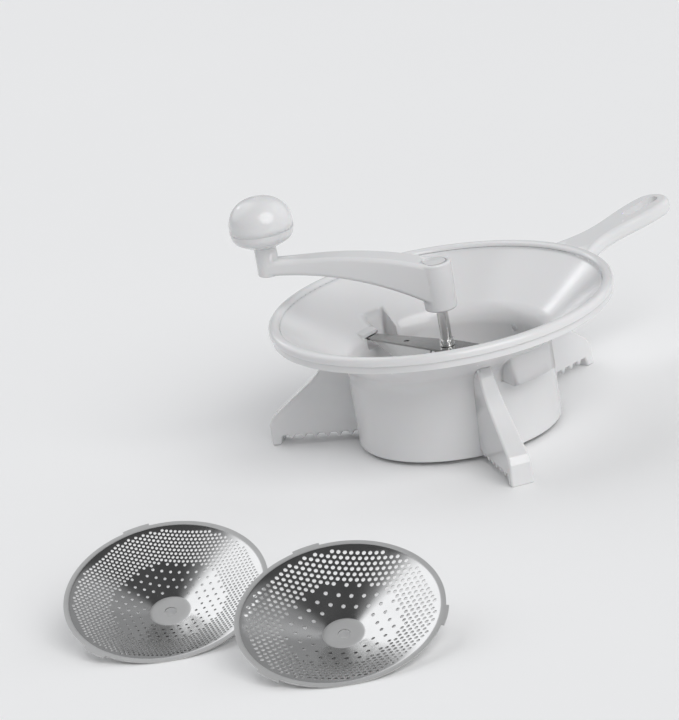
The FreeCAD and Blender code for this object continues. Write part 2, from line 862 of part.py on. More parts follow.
def arch_radius(run, rise):
    """Rounding that turns a rise and the level part after it into one long arch."""
    return arm_arch_reach * math.hypot(run, rise) / math.tan(math.atan2(rise, run) / 2)


def arm_bar():
    """Arched arm from hub to knob boss, along +X."""
    hub_under = hub_top - arm_depth_hub
    boss_under = boss_level - arm_depth_boss
    over, under = (share * crank_radius for share in arm_arch_shares)
    side = [
        (0, hub_under, 0), (under, boss_under, arch_radius(under, boss_under - hub_under)),
        (crank_radius, boss_under, 0), (crank_radius, boss_level, 0),
        (over, boss_level, arch_radius(over, arm_rise)), (0, hub_top, 0),
    ]
    half, half_boss = arm_width_hub / 2, arm_width_boss / 2
    slab = Part.Face(rounded_wire(side)).extrude(Vector(0, arm_width_hub, 0))
    slab = moved(slab, 0, -half, 0)
    plan = [(0, half), (crank_radius, half_boss), (crank_radius, -half_boss), (0, -half)]
    plan = Part.makePolygon([Vector(x, y, 0) for x, y in plan + plan[:1]])
    arm = slab.common(Part.Face(plan).extrude(Vector(0, 0, clear_height)))
    return eased(arm, arm_edge_rounding, is_long_arm_edge)


def is_long_arm_edge(edge):
    """Edges that run along the arm, not round its two ends."""
    box = edge.BoundBox
    return box.XLength > 3 and box.YLength < box.XLength and abs(edge.CenterOfMass.y) > 2


def crank_arm():
    """Arm with its round hub and the boss under the knob."""
    crown = hub_top + hub_crown
    hub = turned_solid([(0, hub_bottom, 0), (hub_radius - hub_draft, hub_bottom, large_edge),
                        (hub_radius, crown, large_edge), (0, crown, 0)])
    boss = turned_solid([(0, boss_low, 0), (boss_radius, boss_low, large_edge),
                         (boss_radius, boss_top, small_edge), (0, boss_top, 0)])
    arm = hub.fuse([arm_bar(), moved(boss, crank_radius, 0, 0)])
    bore = rod(shaft_radius + snug_fit, 0, shaft_top).cut(drive_flat(snug_fit))
    screw_way = rod(hub_screw_radius + rub_gap, shaft_top - overlap, clear_height)
    well = rod(cap_radius + snug_fit, shaft_top + hub_floor, clear_height)
    pin_hole = rod(spindle_stem_radius + snug_fit, boss_low + boss_floor, clear_height,
                   crank_radius)
    arm = arm.cut([bore, screw_way, well, pin_hole])
    return spun(arm.removeSplitter(), crank_angle)


def hub_cap():
    """Slightly domed round cap pressed into the top of the hub."""
    crown = hub_top + hub_crown
    low = crown - cap_thickness
    cap = turned_solid([(0, low, 0), (cap_radius, low, fine_edge),
                        (cap_radius, crown, fine_edge), (0, crown + cap_crown, 0)])
    return spun(cap, crank_angle)


def hub_screw():
    """Screw that draws the arm down on the shaft."""
    low = shaft_top + hub_floor
    high = low + hub_screw_head
    head = turned_solid([(0, low, 0), (hub_screw_head_radius, low, 0),
                         (hub_screw_head_radius, high, small_edge), (0, high, 0)])
    slot = cross_slot(0, hub_screw_radius, high - screw_slot_depth, high)
    screw = head.cut(slot).fuse(rod(hub_screw_radius, shaft_top - hub_screw_length, low + overlap))
    return spun(screw, crank_angle)


def at_knob(shape):
    """Place a piece that is modelled on the Z axis at the end of the crank."""
    return spun(moved(shape, crank_radius, 0, 0), crank_angle)


def knob_spindle():
    """Shouldered pin fixed in the boss, with a head that keeps the knob on."""
    stem = rod(spindle_stem_radius, boss_low + boss_floor + seat_gap, boss_top + overlap)
    shoulder = rod(spindle_radius, boss_top, spindle_seat + overlap)
    top = spindle_seat + spindle_head
    head = turned_solid([(0, spindle_seat, 0), (spindle_head_radius, spindle_seat, fine_edge),
                         (spindle_head_radius, top, small_edge), (0, top, 0)])
    return at_knob(shoulder.fuse([stem, head]))


def knob_base():
    """Lower half of the knob: a shallow cup with a bored floor."""
    bore = spindle_radius + running_fit
    inside = knob_radius - knob_wall
    cup = turned_solid([
        (bore, knob_bottom, fine_edge),
        (knob_neck_radius, knob_bottom, 3 * large_edge),
        (knob_radius - knob_draft, knob_seam - knob_flank, 5 * large_edge),
        (knob_radius, knob_seam, 0),
        (inside, knob_seam, 0),
        (inside, knob_seam - 2 * spigot_depth, small_edge),
        (spindle_head_radius + knob_wall, knob_inside_floor, small_edge),
        (bore, knob_inside_floor, fine_edge),
    ])
    return at_knob(cup)


def knob_top():
    """Domed upper half of the knob, with a spigot that sits inside the lower half."""
    low = knob_seam + seat_gap
    spigot_low = low - spigot_depth
    spigot_out = knob_radius - knob_wall - seat_gap
    spigot_in = spigot_out - spigot_wall
    shoulder = knob_top_height - knob_dome_drop
    dome = turned_solid([
        (spigot_in, spigot_low, 0), (spigot_out, spigot_low, fine_edge), (spigot_out, low, 0),
        (knob_radius, low, 0), (knob_radius, shoulder, knob_dome_rounding),
        (0, knob_top_height, 0), (0, knob_top_height - knob_wall, 0),
        (spigot_in, shoulder - knob_wall, knob_dome_rounding - knob_wall - spigot_wall),
    ])
    return at_knob(dome)


def write(name, shape):
    """Save one piece under its node's name."""
    shape.exportStep(os.path.join("parts", name + ".step"))


def main():
    """Make every piece and save it."""
    os.makedirs("parts", exist_ok=True)
    leg_shape = leg()
    for name, angle in zip(("leg_rear", "leg_left", "leg_front"), leg_angles):
        write(name, spun(leg_shape, angle))
    makers = (bowl_body, handle, handle_screws, cross_bar, upper_washer, thrust_washer,
              press_spring, press_blade, blade_pin, crank_shaft, shaft_collar, crank_arm,
              hub_cap, hub_screw, knob_spindle, knob_base, knob_top)
    for maker in makers:
        write(maker.__name__, maker())
    write("disc_fitted", moved(perforated_disc(medium_holes), 0, 0, disc_seat))
    write("disc_fine", loose_disc(fine_holes, fine_disc_centre()))
    write("disc_coarse", loose_disc(coarse_holes, coarse_disc_centre()))


main()
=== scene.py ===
"""Looks of a hand food mill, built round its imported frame. Lengths are metres."""

import json
import math

import bmesh
import bpy
from bpy.props import FloatProperty, FloatVectorProperty, IntProperty, PointerProperty
from mathutils import Euler, Matrix, Vector


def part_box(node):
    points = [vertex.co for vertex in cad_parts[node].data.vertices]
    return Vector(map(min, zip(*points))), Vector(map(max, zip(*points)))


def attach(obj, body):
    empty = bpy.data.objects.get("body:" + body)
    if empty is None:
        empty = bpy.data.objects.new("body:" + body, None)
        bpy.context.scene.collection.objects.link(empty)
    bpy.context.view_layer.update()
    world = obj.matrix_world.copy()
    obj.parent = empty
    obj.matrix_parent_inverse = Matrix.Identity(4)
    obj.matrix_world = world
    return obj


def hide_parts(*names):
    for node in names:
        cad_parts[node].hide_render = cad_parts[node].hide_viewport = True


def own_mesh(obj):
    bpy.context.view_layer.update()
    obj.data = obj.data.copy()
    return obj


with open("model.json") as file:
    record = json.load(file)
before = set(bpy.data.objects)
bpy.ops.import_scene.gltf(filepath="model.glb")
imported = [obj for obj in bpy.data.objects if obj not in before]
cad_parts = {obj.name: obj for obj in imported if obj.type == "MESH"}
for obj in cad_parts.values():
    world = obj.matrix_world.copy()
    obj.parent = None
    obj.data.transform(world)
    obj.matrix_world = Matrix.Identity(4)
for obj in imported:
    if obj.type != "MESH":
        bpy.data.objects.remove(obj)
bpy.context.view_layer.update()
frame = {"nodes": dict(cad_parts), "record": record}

bl_info = {
    "name": "Food Mill",
    "version": (1, 0, 0),
    "blender": (4, 5, 0),
    "location": "View3D > Sidebar > Food Mill",
    "description": "Makes the visible pieces of a hand food mill and a studio to show them in",
    "category": "Object",
}

MM = 0.001
UP = Vector((0, 0, 1))

# Disc sheet, from the shaft hole outwards
shaft_hole = 3.98 * MM
hub_rings = (9.0 * MM, 5.5 * MM, 4.3 * MM)
disc_hub = 13.0 * MM
disc_radius = 66.0 * MM
disc_flange = 3.4 * MM
flange_start = disc_radius - disc_flange
disc_lip = 0.4 * MM
disc_depth = 18.0 * MM
disc_sheet = 0.8 * MM
disc_bend = 0.8 * MM
disc_segments = 144
loose_turn = 45.0
tab_bearings = (60.0, 180.0, 300.0)
tab_reach = 1.9 * MM
tab_half_width = 7.5 * MM
rim_share = 0.99

# Disc holes; shares are of the hole spacing
dense_start = 37.5 * MM
hole_segments = 12
hole_margin = 0.5 * MM
fill_gap = 0.25 * MM
cell_share = 0.6
open_edge_share = 0.27
weld_share = 0.02
cells_needed = 3

# Shading and edges of the other pieces
weld_distance = 2e-6
sharp_angle = 0.6
disc_sharp_angle = 0.9
flat_angle = math.radians(1)
edge_angle = math.radians(40)
sheet_edge = 0.2 * MM
bar_angle = 100.0

# Spring
wire_radius = 0.75 * MM
wire_segments = 12
steps_per_turn = 32
spring_weld = 1e-6

# Stage; a light panel's place is its bearing, height and half width in degrees
key_bearing = -95.0
key_height = 42.0
key_spread = 50.0
left_panel_place = (100.0, 38.0, 30.0)
right_panel_place = (-12.0, 28.0, 28.0)
ceiling_place = (0.0, 90.0, 22.0)
window_place = (84.0, 25.0, 4.5)
panel_softness = 0.15
room_tint = (0.97, 0.98, 1.0, 1)
floor_reach = 6.0
picture_height = 24.0
camera_place = Vector((-1.7355, -2.2568, 1.0249))
camera_turn = Euler([math.radians(a) for a in (71.093, 9.307, -39.217)]).to_matrix().to_4x4()


# Settings

class MillColours(bpy.types.PropertyGroup):
    """Colours of the mill's finishes"""
    plastic: FloatVectorProperty(
        name="Plastic", description="Moulded plastic of bowl, legs, handle and crank",
        subtype="COLOR", size=3, min=0, max=1, default=(0.73, 0.73, 0.735))
    sheet: FloatVectorProperty(
        name="Disc steel", description="Bright stainless sheet of the discs",
        subtype="COLOR", size=3, min=0, max=1, default=(0.62, 0.62, 0.615))
    bar: FloatVectorProperty(
        name="Bar steel", description="Darker stainless sheet of bar, blade and washers",
        subtype="COLOR", size=3, min=0, max=1, default=(0.40, 0.40, 0.395))
    rod: FloatVectorProperty(
        name="Bright rod", description="Polished steel of the shaft and its collar",
        subtype="COLOR", size=3, min=0, max=1, default=(0.70, 0.70, 0.69))
    wire: FloatVectorProperty(
        name="Spring wire", description="Drawn steel wire of the press spring",
        subtype="COLOR", size=3, min=0, max=1, default=(0.48, 0.47, 0.45))
    floor: FloatVectorProperty(
        name="Floor", description="Plain floor of the studio",
        subtype="COLOR", size=3, min=0, max=1, default=(0.88, 0.88, 0.88))


class MillSizes(bpy.types.PropertyGroup):
    """Sizes of the details that are made here"""
    fine_hole: FloatProperty(
        name="Fine hole", description="Hole diameter of the fine disc",
        subtype="DISTANCE", unit="LENGTH", default=2.0 * MM)
    fine_pitch: FloatProperty(
        name="Fine pitch", description="Hole spacing of the fine disc",
        subtype="DISTANCE", unit="LENGTH", default=2.9 * MM)
    medium_hole: FloatProperty(
        name="Medium hole", description="Hole diameter of the fitted disc",
        subtype="DISTANCE", unit="LENGTH", default=2.4 * MM)
    medium_pitch: FloatProperty(
        name="Medium pitch", description="Hole spacing of the fitted disc",
        subtype="DISTANCE", unit="LENGTH", default=3.5 * MM)
    coarse_hole: FloatProperty(
        name="Coarse hole", description="Hole diameter of the coarse disc",
        subtype="DISTANCE", unit="LENGTH", default=2.7 * MM)
    coarse_pitch: FloatProperty(
        name="Coarse pitch", description="Hole spacing of the coarse disc",
        subtype="DISTANCE", unit="LENGTH", default=4.1 * MM)
    spring_turns: IntProperty(
        name="Spring turns", description="Turns of the press spring", min=2, default=5)


class MillStage(bpy.types.PropertyGroup):
    """Camera and lights"""
    lens: FloatProperty(
        name="Lens", description="Focal length for a picture 24 mm high",
        subtype="DISTANCE_CAMERA", unit="CAMERA", default=145.18)
    key: FloatProperty(
        name="Key light", default=1.8,
        description="Strength of the wide soft light above the right shoulder")
    room: FloatProperty(
        name="Room light", default=0.36, description="Strength of the room's walls")
    ceiling: FloatProperty(
        name="Ceiling", default=0.08, description="Strength of the room straight above")
    left_panel: FloatProperty(
        name="Left panel", default=1.45,
        description="Strength of the light panel behind at the left")
    right_panel: FloatProperty(
        name="Right panel", default=1.0,
        description="Strength of the light panel behind at the right")
    window: FloatProperty(
        name="Window", default=3.2,
        description="Strength of the small bright panel that gives the highlights")


def sizes():
    """The scene's sizes for the mill."""
    return bpy.context.scene.food_mill_sizes


def colours():
    """The scene's colours for the mill."""
    return bpy.context.scene.food_mill_colours


# Shaders

class Value:
    """A shader socket that can be used in Python arithmetic."""

    def __init__(self, paint, socket):
        self.paint = paint
        self.socket = socket

    def maths(self, operation, other):
        """Combine with another value or a number."""
        made = self.paint.node("ShaderNodeMath", {"operation": operation}, {0: self, 1: other})
        return made["Value"]

    def __add__(self, other):
        return self.maths("ADD", other)

    __radd__ = __add__

    def __mul__(self, other):
        return self.maths("MULTIPLY", other)


class Paint:
    """The shader tree of a material or of the world, under construction."""

    def __init__(self, owner):
        owner.use_nodes = True
        self.owner = owner
        self.tree = owner.node_tree
        self.tree.nodes.clear()

    def node(self, kind, setup=None, inputs=None):
        """Add a node; returns its outputs by name as values."""
        made = self.tree.nodes.new(kind)
        for key, value in (setup or {}).items():
            if key == "stops":
                ramp = made.color_ramp
                while len(ramp.elements) < len(value):
                    ramp.elements.new(0.5)
                for element, (position, level) in zip(ramp.elements, value):
                    element.position = position
                    element.color = (level, level, level, 1)
            else:
                setattr(made, key, value)
        for key, value in (inputs or {}).items():
            if isinstance(value, Value):
                self.tree.links.new(value.socket, made.inputs[key])
            else:
                made.inputs[key].default_value = value
        return {socket.name: Value(self, socket) for socket in made.outputs if socket.enabled}

    def coordinates(self, kind):
        """Texture coordinates of one kind."""
        return self.node("ShaderNodeTexCoord")[kind]

    def vector_maths(self, operation, first, second=None):
        """Outputs of a vector calculation."""
        inputs = {0: first} if second is None else {0: first, 1: second}
        return self.node("ShaderNodeVectorMath", {"operation": operation}, inputs)

    def noise(self, cell, detail, turn=0.0):
        """Soft noise from 0 to 1; cell is its size in millimetres, the same or three different
        ones along X, Y and Z, and turn is in degrees about Z."""
        cells = cell if isinstance(cell, tuple) else (cell,) * 3
        where = self.node("ShaderNodeMapping", {"vector_type": "TEXTURE"},
                          {"Vector": self.coordinates("Object"),
                           "Rotation": (0, 0, math.radians(turn)),
                           "Scale": [size * MM for size in cells]})["Vector"]
        return self.node("ShaderNodeTexNoise", None,
                         {"Vector": where, "Scale": 1.0, "Detail": detail})["Fac"]

    def ramp(self, value, *stops):
        """Remap a value through stops of (position, level)."""
        return self.node("ShaderNodeValToRGB", {"stops": stops}, {"Fac": value})["Color"]

    def blend(self, share, first, second):
        """Mix two colours."""
        return self.node("ShaderNodeMix", {"data_type": "RGBA"},
                         {"Factor": share, 6: (*first, 1), 7: (*second, 1)})["Result"]

    def bump(self, height, strength, distance, under=None):
        """Normal raised by a height value."""
        inputs = {"Height": height, "Strength": strength, "Distance": distance}
        if under is not None:
            inputs["Normal"] = under
        return self.node("ShaderNodeBump", None, inputs)["Normal"]

    def surface(self, **inputs):
        """Finish with a principled surface; names use _ for spaces."""
        named = {key.replace("_", " "): value for key, value in inputs.items()}
        shader = self.node("ShaderNodeBsdfPrincipled", None, named)["BSDF"]
        self.node("ShaderNodeOutputMaterial", None, {"Surface": shader})
        return self.owner


def new_paint(name):
    """Start a material."""
    return Paint(bpy.data.materials.new(name))


def shade(colour, factor):
    """A colour made lighter or darker."""
    return tuple(min(1.0, channel * factor) for channel in colour)


def plastic_finish(name, tint=1.0):
    """Glossy moulded plastic with a faint ripple, handling marks and fine scuffs."""
    paint = new_paint(name)
    base = shade(colours().plastic, tint)
    cloud = paint.noise(cell=70, detail=2)
    rub = paint.ramp(paint.noise(cell=17, detail=5), (0.45, 0.0), (0.75, 1.0))
    scratch = paint.noise(cell=(14, 0.5, 2.5), detail=2, turn=35)
    scuffs = paint.ramp(scratch * rub, (0.52, 0.0), (0.62, 1.0))
    grain = paint.noise(cell=0.7, detail=2)
    ripple = paint.bump(paint.noise(cell=11, detail=1), strength=0.02, distance=0.6 * MM)
    return paint.surface(
        Base_Color=paint.blend(cloud, shade(base, 0.965), shade(base, 1.03)),
        Roughness=0.14 + rub * 0.07 + scuffs * 0.12 + grain * 0.03,
        Normal=paint.bump(grain, strength=0.02, distance=0.1 * MM, under=ripple),
        IOR=1.5, Coat_Weight=0.15, Coat_Roughness=0.08,
        Subsurface_Weight=0.06, Subsurface_Scale=4 * MM)


def steel_finish(name, colour, roughness, lines, turn=0.0):
    """Bright metal with fine working lines, whose cell sizes are in millimetres."""
    paint = new_paint(name)
    streak = paint.noise(cell=lines, detail=3, turn=turn)
    smear = paint.noise(cell=22, detail=4)
    return paint.surface(
        Base_Color=paint.blend(smear, shade(colour, 0.90), shade(colour, 1.06)),
        Metallic=1.0,
        Roughness=roughness + streak * 0.08 + smear * 0.06,
        Normal=paint.bump(streak, strength=0.02, distance=0.1 * MM))


def disc_finish(name, centre, axis):
    """Pressed stainless sheet, satin on hub and flange, with polishing rings round its axis."""
    paint = new_paint(name)
    away = paint.vector_maths("SUBTRACT", paint.coordinates("Object"), centre)["Vector"]
    across = paint.vector_maths("CROSS_PRODUCT", away, axis)["Vector"]
    radius = paint.vector_maths("LENGTH", across)["Value"]
    rings = paint.node("ShaderNodeTexNoise", {"noise_dimensions": "1D"},
                       {"W": radius, "Scale": 2600.0, "Detail": 3.0})["Fac"]
    hub, flange = disc_hub / disc_radius, flange_start / disc_radius
    satin = paint.ramp(radius * (1 / disc_radius), (hub, 1.0), (hub + 0.012, 0.0),
                       (flange - 0.006, 0.0), (flange + 0.006, 1.0))
    smear = paint.noise(cell=14, detail=4)
    base = colours().sheet
    return paint.surface(
        Base_Color=paint.blend(smear, shade(base, 0.92), shade(base, 1.06)),
        Metallic=1.0,
        Roughness=0.08 + satin * 0.34 + rings * 0.05 + smear * 0.05,
        Normal=paint.bump(rings, strength=0.03, distance=0.2 * MM))


# Mesh tools

def piece_from(name, bm, material, body, node, sharp=sharp_angle):
    """Turn a bmesh into a piece that rides on a body and stands for a CAD node."""
    mesh = bpy.data.meshes.new(name)
    bm.to_mesh(mesh)
    bm.free()
    for polygon in mesh.polygons:
        polygon.use_smooth = True
    mesh.set_sharp_from_angle(angle=sharp)
    mesh.materials.append(material)
    piece = bpy.data.objects.new(name, mesh)
    bpy.context.scene.collection.objects.link(piece)
    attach(piece, body)
    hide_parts(node)
    return piece


def paint_node(node, material):
    """Give a CAD node its finish."""
    mesh = frame["nodes"][node].data
    mesh.materials.clear()
    mesh.materials.append(material)


def soften(bm, width):
    """Round the sharp edges of a sheet-metal shape."""
    bmesh.ops.dissolve_limit(bm, angle_limit=flat_angle, verts=bm.verts, edges=bm.edges)
    sharp = [e for e in bm.edges if e.is_manifold and e.calc_face_angle() > edge_angle]
    bmesh.ops.bevel(bm, geom=sharp, offset=width, offset_type="OFFSET", segments=2, profile=0.5,
                    affect="EDGES", clamp_overlap=True, material=-1)


def smooth_copy(node, material, body, edge=0.0):
    """A CAD node's shape as one welded, smoothly shaded mesh."""
    bm = bmesh.new()
    bm.from_mesh(frame["nodes"][node].data)
    bmesh.ops.remove_doubles(bm, verts=bm.verts, dist=weld_distance)
    if edge:
        soften(bm, edge)
    piece = piece_from(node + "_shown", bm, material, body, node)
    weighted = piece.modifiers.new("even_shading", "WEIGHTED_NORMAL")
    weighted.keep_sharp = True


# Discs

def edge_middle(edge):
    """Middle point of an edge."""
    return (edge.verts[0].co + edge.verts[1].co) / 2


def ring_edges(bm, radius, segments):
    """A circle of edges."""
    made = bmesh.ops.create_circle(bm, segments=segments, radius=radius)
    return list({edge for vert in made["verts"] for edge in vert.link_edges})


def widen(bm, edges, factor):
    """Extrude a circle of edges in the plane to a new radius; returns the new edges."""
    made = bmesh.ops.extrude_edge_only(bm, edges=edges)["geom"]
    verts = [item for item in made if isinstance(item, bmesh.types.BMVert)]
    bmesh.ops.scale(bm, vec=(factor, factor, 1), verts=verts)
    return [item for item in made if isinstance(item, bmesh.types.BMEdge)
            and item.verts[0] in verts and item.verts[1] in verts]


def chain(bm, edges, radius, *radii):
    """Extrude a circle of edges through several radii."""
    for following in radii:
        edges = widen(bm, edges, following / radius)
        radius = following


def hex_tile(pitch, hole):
    """One hexagonal cell of the sheet, round a hole or, with a hole of 0, closed."""
    bm = bmesh.new()
    bmesh.ops.create_circle(bm, segments=6, radius=pitch / math.sqrt(3))
    bmesh.ops.subdivide_edges(bm, edges=bm.edges, cuts=1)
    rim = bm.edges[:]
    if hole:
        bmesh.ops.bridge_loops(bm, edges=rim + ring_edges(bm, hole / 2, hole_segments))
    else:
        made = bmesh.ops.contextual_create(bm, geom=rim)
        bmesh.ops.poke(bm, faces=made["faces"])
    mesh = bpy.data.meshes.new("tile")
    bm.to_mesh(mesh)
    bm.free()
    return mesh


def cells_beside(row, column):
    """The six cells round one cell; odd rows are shifted by half a cell."""
    left = column + row % 2 - 1
    return ((row, column - 1), (row, column + 1), (row - 1, left), (row - 1, left + 1),
            (row + 1, left), (row + 1, left + 1))


def cell_places(pitch, hole, inner, outer):
    """Places by row and column of the cells that fit in the ring between two radii."""
    row_step = pitch * math.sqrt(3) / 2
    rows = int(outer / row_step) + 1
    columns = int(outer / pitch) + 2
    spots = {}
    for row in range(-rows, rows + 1):
        for column in range(-columns, columns + 1):
            spot = Vector(((column + (row % 2) / 2) * pitch, row * row_step, 0))
            if inner + pitch * cell_share <= spot.length <= outer - hole / 2 - hole_margin:
                spots[row, column] = spot
    return spots


def perforated_field(bm, pitch, hole, inner, outer):
    """Tile the ring between two radii, without cells that stand alone; near the hub only some
    of the cells have a hole."""
    tiles = {True: hex_tile(pitch, hole), False: hex_tile(pitch, 0)}
    places = {True: Vector(), False: Vector()}
    spots = cell_places(pitch, hole, inner, outer)
    for (row, column), spot in spots.items():
        if sum(place in spots for place in cells_beside(row, column)) < cells_needed:
            continue
        sparse = row % 2 == 0 and column % 2 == (row // 2) % 2
        holed = spot.length > dense_start or (sparse and spot.length > inner + pitch)
        tile = tiles[holed]
        tile.transform(Matrix.Translation(spot - places[holed]))
        places[holed] = spot
        bm.from_mesh(tile)
    bmesh.ops.remove_doubles(bm, verts=bm.verts, dist=pitch * weld_share)
    for tile in tiles.values():
        bpy.data.meshes.remove(tile)


def fit_inside(bm, radius):
    """Pull the points that lie outside a radius in to it."""
    for vert in bm.verts:
        reach = vert.co.xy.length
        if reach > radius:
            vert.co.xy *= radius / reach


def flat_disc(bm, pitch, hole):
    """Perforated sheet from the shaft hole to the edge, still flat."""
    hub_out, field_out = disc_hub + disc_bend, flange_start - disc_bend
    perforated_field(bm, pitch, hole, hub_out, field_out)
    open_edges = [e for e in bm.edges if e.is_boundary
                  and e.calc_length() > pitch * open_edge_share]
    fit_inside(bm, field_out - fill_gap)
    inner = ring_edges(bm, hub_out, disc_segments)
    outer = ring_edges(bm, field_out, disc_segments)
    bmesh.ops.triangle_fill(bm, edges=open_edges + inner + outer, use_beauty=True, normal=UP)
    chain(bm, inner, hub_out, disc_hub, disc_hub - disc_bend, *hub_rings, shaft_hole)
    chain(bm, outer, field_out, flange_start, flange_start + disc_bend,
          disc_radius - disc_lip, disc_radius)


def dish_height(radius):
    """Height of the sheet's underside at a radius, with rounded bends."""
    slope = disc_depth / (flange_start - disc_hub)

    def soft(distance):
        if distance <= -disc_bend:
            return 0.0
        if distance >= disc_bend:
            return distance
        return (distance + disc_bend) ** 2 / (4 * disc_bend)

    return slope * (soft(radius - disc_hub) - soft(radius - flange_start))


def add_tabs(bm):
    """Extrude the tabs outwards from the disc's edge."""
    rim = [e for e in bm.edges if e.is_boundary
           and edge_middle(e).xy.length > disc_radius * rim_share]
    tabs = []
    for bearing in tab_bearings:
        direction = heading(bearing, 0)
        side = UP.cross(direction)
        tabs.append([e for e in rim if edge_middle(e).dot(direction) > 0
                     and abs(edge_middle(e).dot(side)) < tab_half_width])
    for edges in tabs:
        made = bmesh.ops.extrude_edge_only(bm, edges=edges)["geom"]
        for vert in made:
            if isinstance(vert, bmesh.types.BMVert):
                vert.co.xy += vert.co.xy.normalized() * tab_reach


def make_disc(name, hole, pitch, place, body, node, finish):
    """Dished disc with its real pattern of holes."""
    bm = bmesh.new()
    flat_disc(bm, pitch, hole)
    for vert in bm.verts:
        vert.co.z = dish_height(vert.co.xy.length)
    add_tabs(bm)
    bmesh.ops.recalc_face_normals(bm, faces=bm.faces)
    if sum(face.normal.z for face in bm.faces) < 0:
        bmesh.ops.reverse_faces(bm, faces=bm.faces)
    bmesh.ops.solidify(bm, geom=bm.faces[:], thickness=-disc_sheet)
    bmesh.ops.transform(bm, matrix=place, verts=bm.verts)
    bmesh.ops.recalc_face_normals(bm, faces=bm.faces)
    piece_from(name, bm, finish, body, node, sharp=disc_sharp_angle)


def loose_place(bore_name):
    """Where a loose disc lies, from its bore in the record."""
    bore = next(m for m in frame["record"]["mounts"] if m["name"] == bore_name)
    axis = Vector(bore["axis"]).normalized()
    middle = Vector(bore["pos_m"]) - axis * disc_sheet / 2
    side = UP.cross(axis).normalized()
    tilt = Matrix((side, axis.cross(side), axis)).transposed().to_4x4()
    return Matrix.Translation(middle) @ tilt @ Matrix.Rotation(math.radians(loose_turn), 4, "Z")


# Stage parts

def heading(bearing, height):
    """Unit vector towards a bearing and a height, both in degrees."""
    turn = Euler((0, math.radians(-height), math.radians(bearing)))
    return turn.to_matrix() @ Vector((1, 0, 0))


def make_floor():
    """Wide pale floor."""
    bm = bmesh.new()
    bmesh.ops.create_grid(bm, x_segments=2, y_segments=2, size=floor_reach)
    mesh = bpy.data.meshes.new("floor")
    bm.to_mesh(mesh)
    bm.free()
    floor = bpy.data.objects.new("floor", mesh)
    bpy.context.scene.collection.objects.link(floor)
    paint = new_paint("pale_floor")
    base = colours().floor
    tone = paint.noise(cell=330, detail=2)
    mesh.materials.append(paint.surface(
        Base_Color=paint.blend(tone, shade(base, 0.99), shade(base, 1.01)), Roughness=0.6))


def make_room(stage):
    """Walls that light the mill evenly, two brighter panels, a small window and a darker
    ceiling."""
    world = bpy.data.worlds.new("room")
    bpy.context.scene.world = world
    paint = Paint(world)
    direction = paint.coordinates("Generated")
    level = stage.room
    for (bearing, height, width), strength in (
            (left_panel_place, stage.left_panel), (right_panel_place, stage.right_panel),
            (ceiling_place, stage.ceiling), (window_place, stage.window)):
        middle = heading(bearing, height)
        towards = paint.vector_maths("DOT_PRODUCT", direction, middle)["Value"]
        edge = math.cos(math.radians(width * (1 + panel_softness)))
        full = math.cos(math.radians(width * (1 - panel_softness)))
        inside = paint.ramp(towards, (edge, 0.0), (full, 1.0))
        level = level + inside * (strength - stage.room)
    light = paint.node("ShaderNodeBackground", None, {"Color": room_tint, "Strength": level})
    paint.node("ShaderNodeOutputWorld", None, {"Surface": light["Background"]})


def wide_light(name, strength, bearing, height):
    """Very wide sun-like light, even over the whole floor."""
    lamp = bpy.data.lights.new(name, "SUN")
    lamp.energy = strength
    lamp.angle = math.radians(key_spread)
    light = bpy.data.objects.new(name, lamp)
    light.rotation_euler = (0, math.radians(90 - height), math.radians(bearing))
    bpy.context.scene.collection.objects.link(light)


def make_camera(lens):
    """Camera at the picture's viewing angle."""
    lens_data = bpy.data.cameras.new("camera")
    lens_data.sensor_fit = "VERTICAL"
    lens_data.sensor_height = picture_height
    lens_data.lens = lens
    camera = bpy.data.objects.new("camera", lens_data)
    camera.matrix_world = Matrix.Translation(camera_place) @ camera_turn
    bpy.context.scene.collection.objects.link(camera)
    bpy.context.scene.camera = camera


# Operators

class MILL_OT_bowl(bpy.types.Operator):
    """Bowl with its rim, funnel, drum and bar niches"""
    bl_idname = "food_mill.bowl"
    bl_label = "Bowl"

    def execute(self, context):
        smooth_copy("bowl_body", plastic_finish("bowl_plastic"), "bowl")
        return {"FINISHED"}


class MILL_OT_legs(bpy.types.Operator):
    """Three toothed legs"""
    bl_idname = "food_mill.legs"
    bl_label = "Legs"

    def execute(self, context):
        finish = plastic_finish("leg_plastic", 1.01)
        for node in ("leg_rear", "leg_left", "leg_front"):
            smooth_copy(node, finish, "bowl")
        return {"FINISHED"}


class MILL_OT_handle(bpy.types.Operator):
    """Handle and its two screws"""
    bl_idname = "food_mill.handle"
    bl_label = "Handle"

    def execute(self, context):
        smooth_copy("handle", plastic_finish("handle_plastic"), "bowl")
        steel = steel_finish("screw_plating", colours().wire, 0.26, lines=(3, 3, 0.3))
        paint_node("handle_screws", steel)
        return {"FINISHED"}


class MILL_OT_crank(bpy.types.Operator):
    """Crank arm, hub cap, hub screw and knob spindle"""
    bl_idname = "food_mill.crank"
    bl_label = "Crank"

    def execute(self, context):
        smooth_copy("crank_arm", plastic_finish("arm_plastic"), "crank")
        smooth_copy("hub_cap", plastic_finish("cap_plastic", 0.97), "crank")
        steel = steel_finish("spindle_steel", colours().rod, 0.16, lines=(6, 6, 0.3))
        paint_node("hub_screw", steel)
        paint_node("knob_spindle", steel)
        return {"FINISHED"}


class MILL_OT_knob(bpy.types.Operator):
    """Two halves of the turning knob"""
    bl_idname = "food_mill.knob"
    bl_label = "Knob"

    def execute(self, context):
        finish = plastic_finish("knob_plastic")
        smooth_copy("knob_base", finish, "knob")
        smooth_copy("knob_top", finish, "knob")
        return {"FINISHED"}


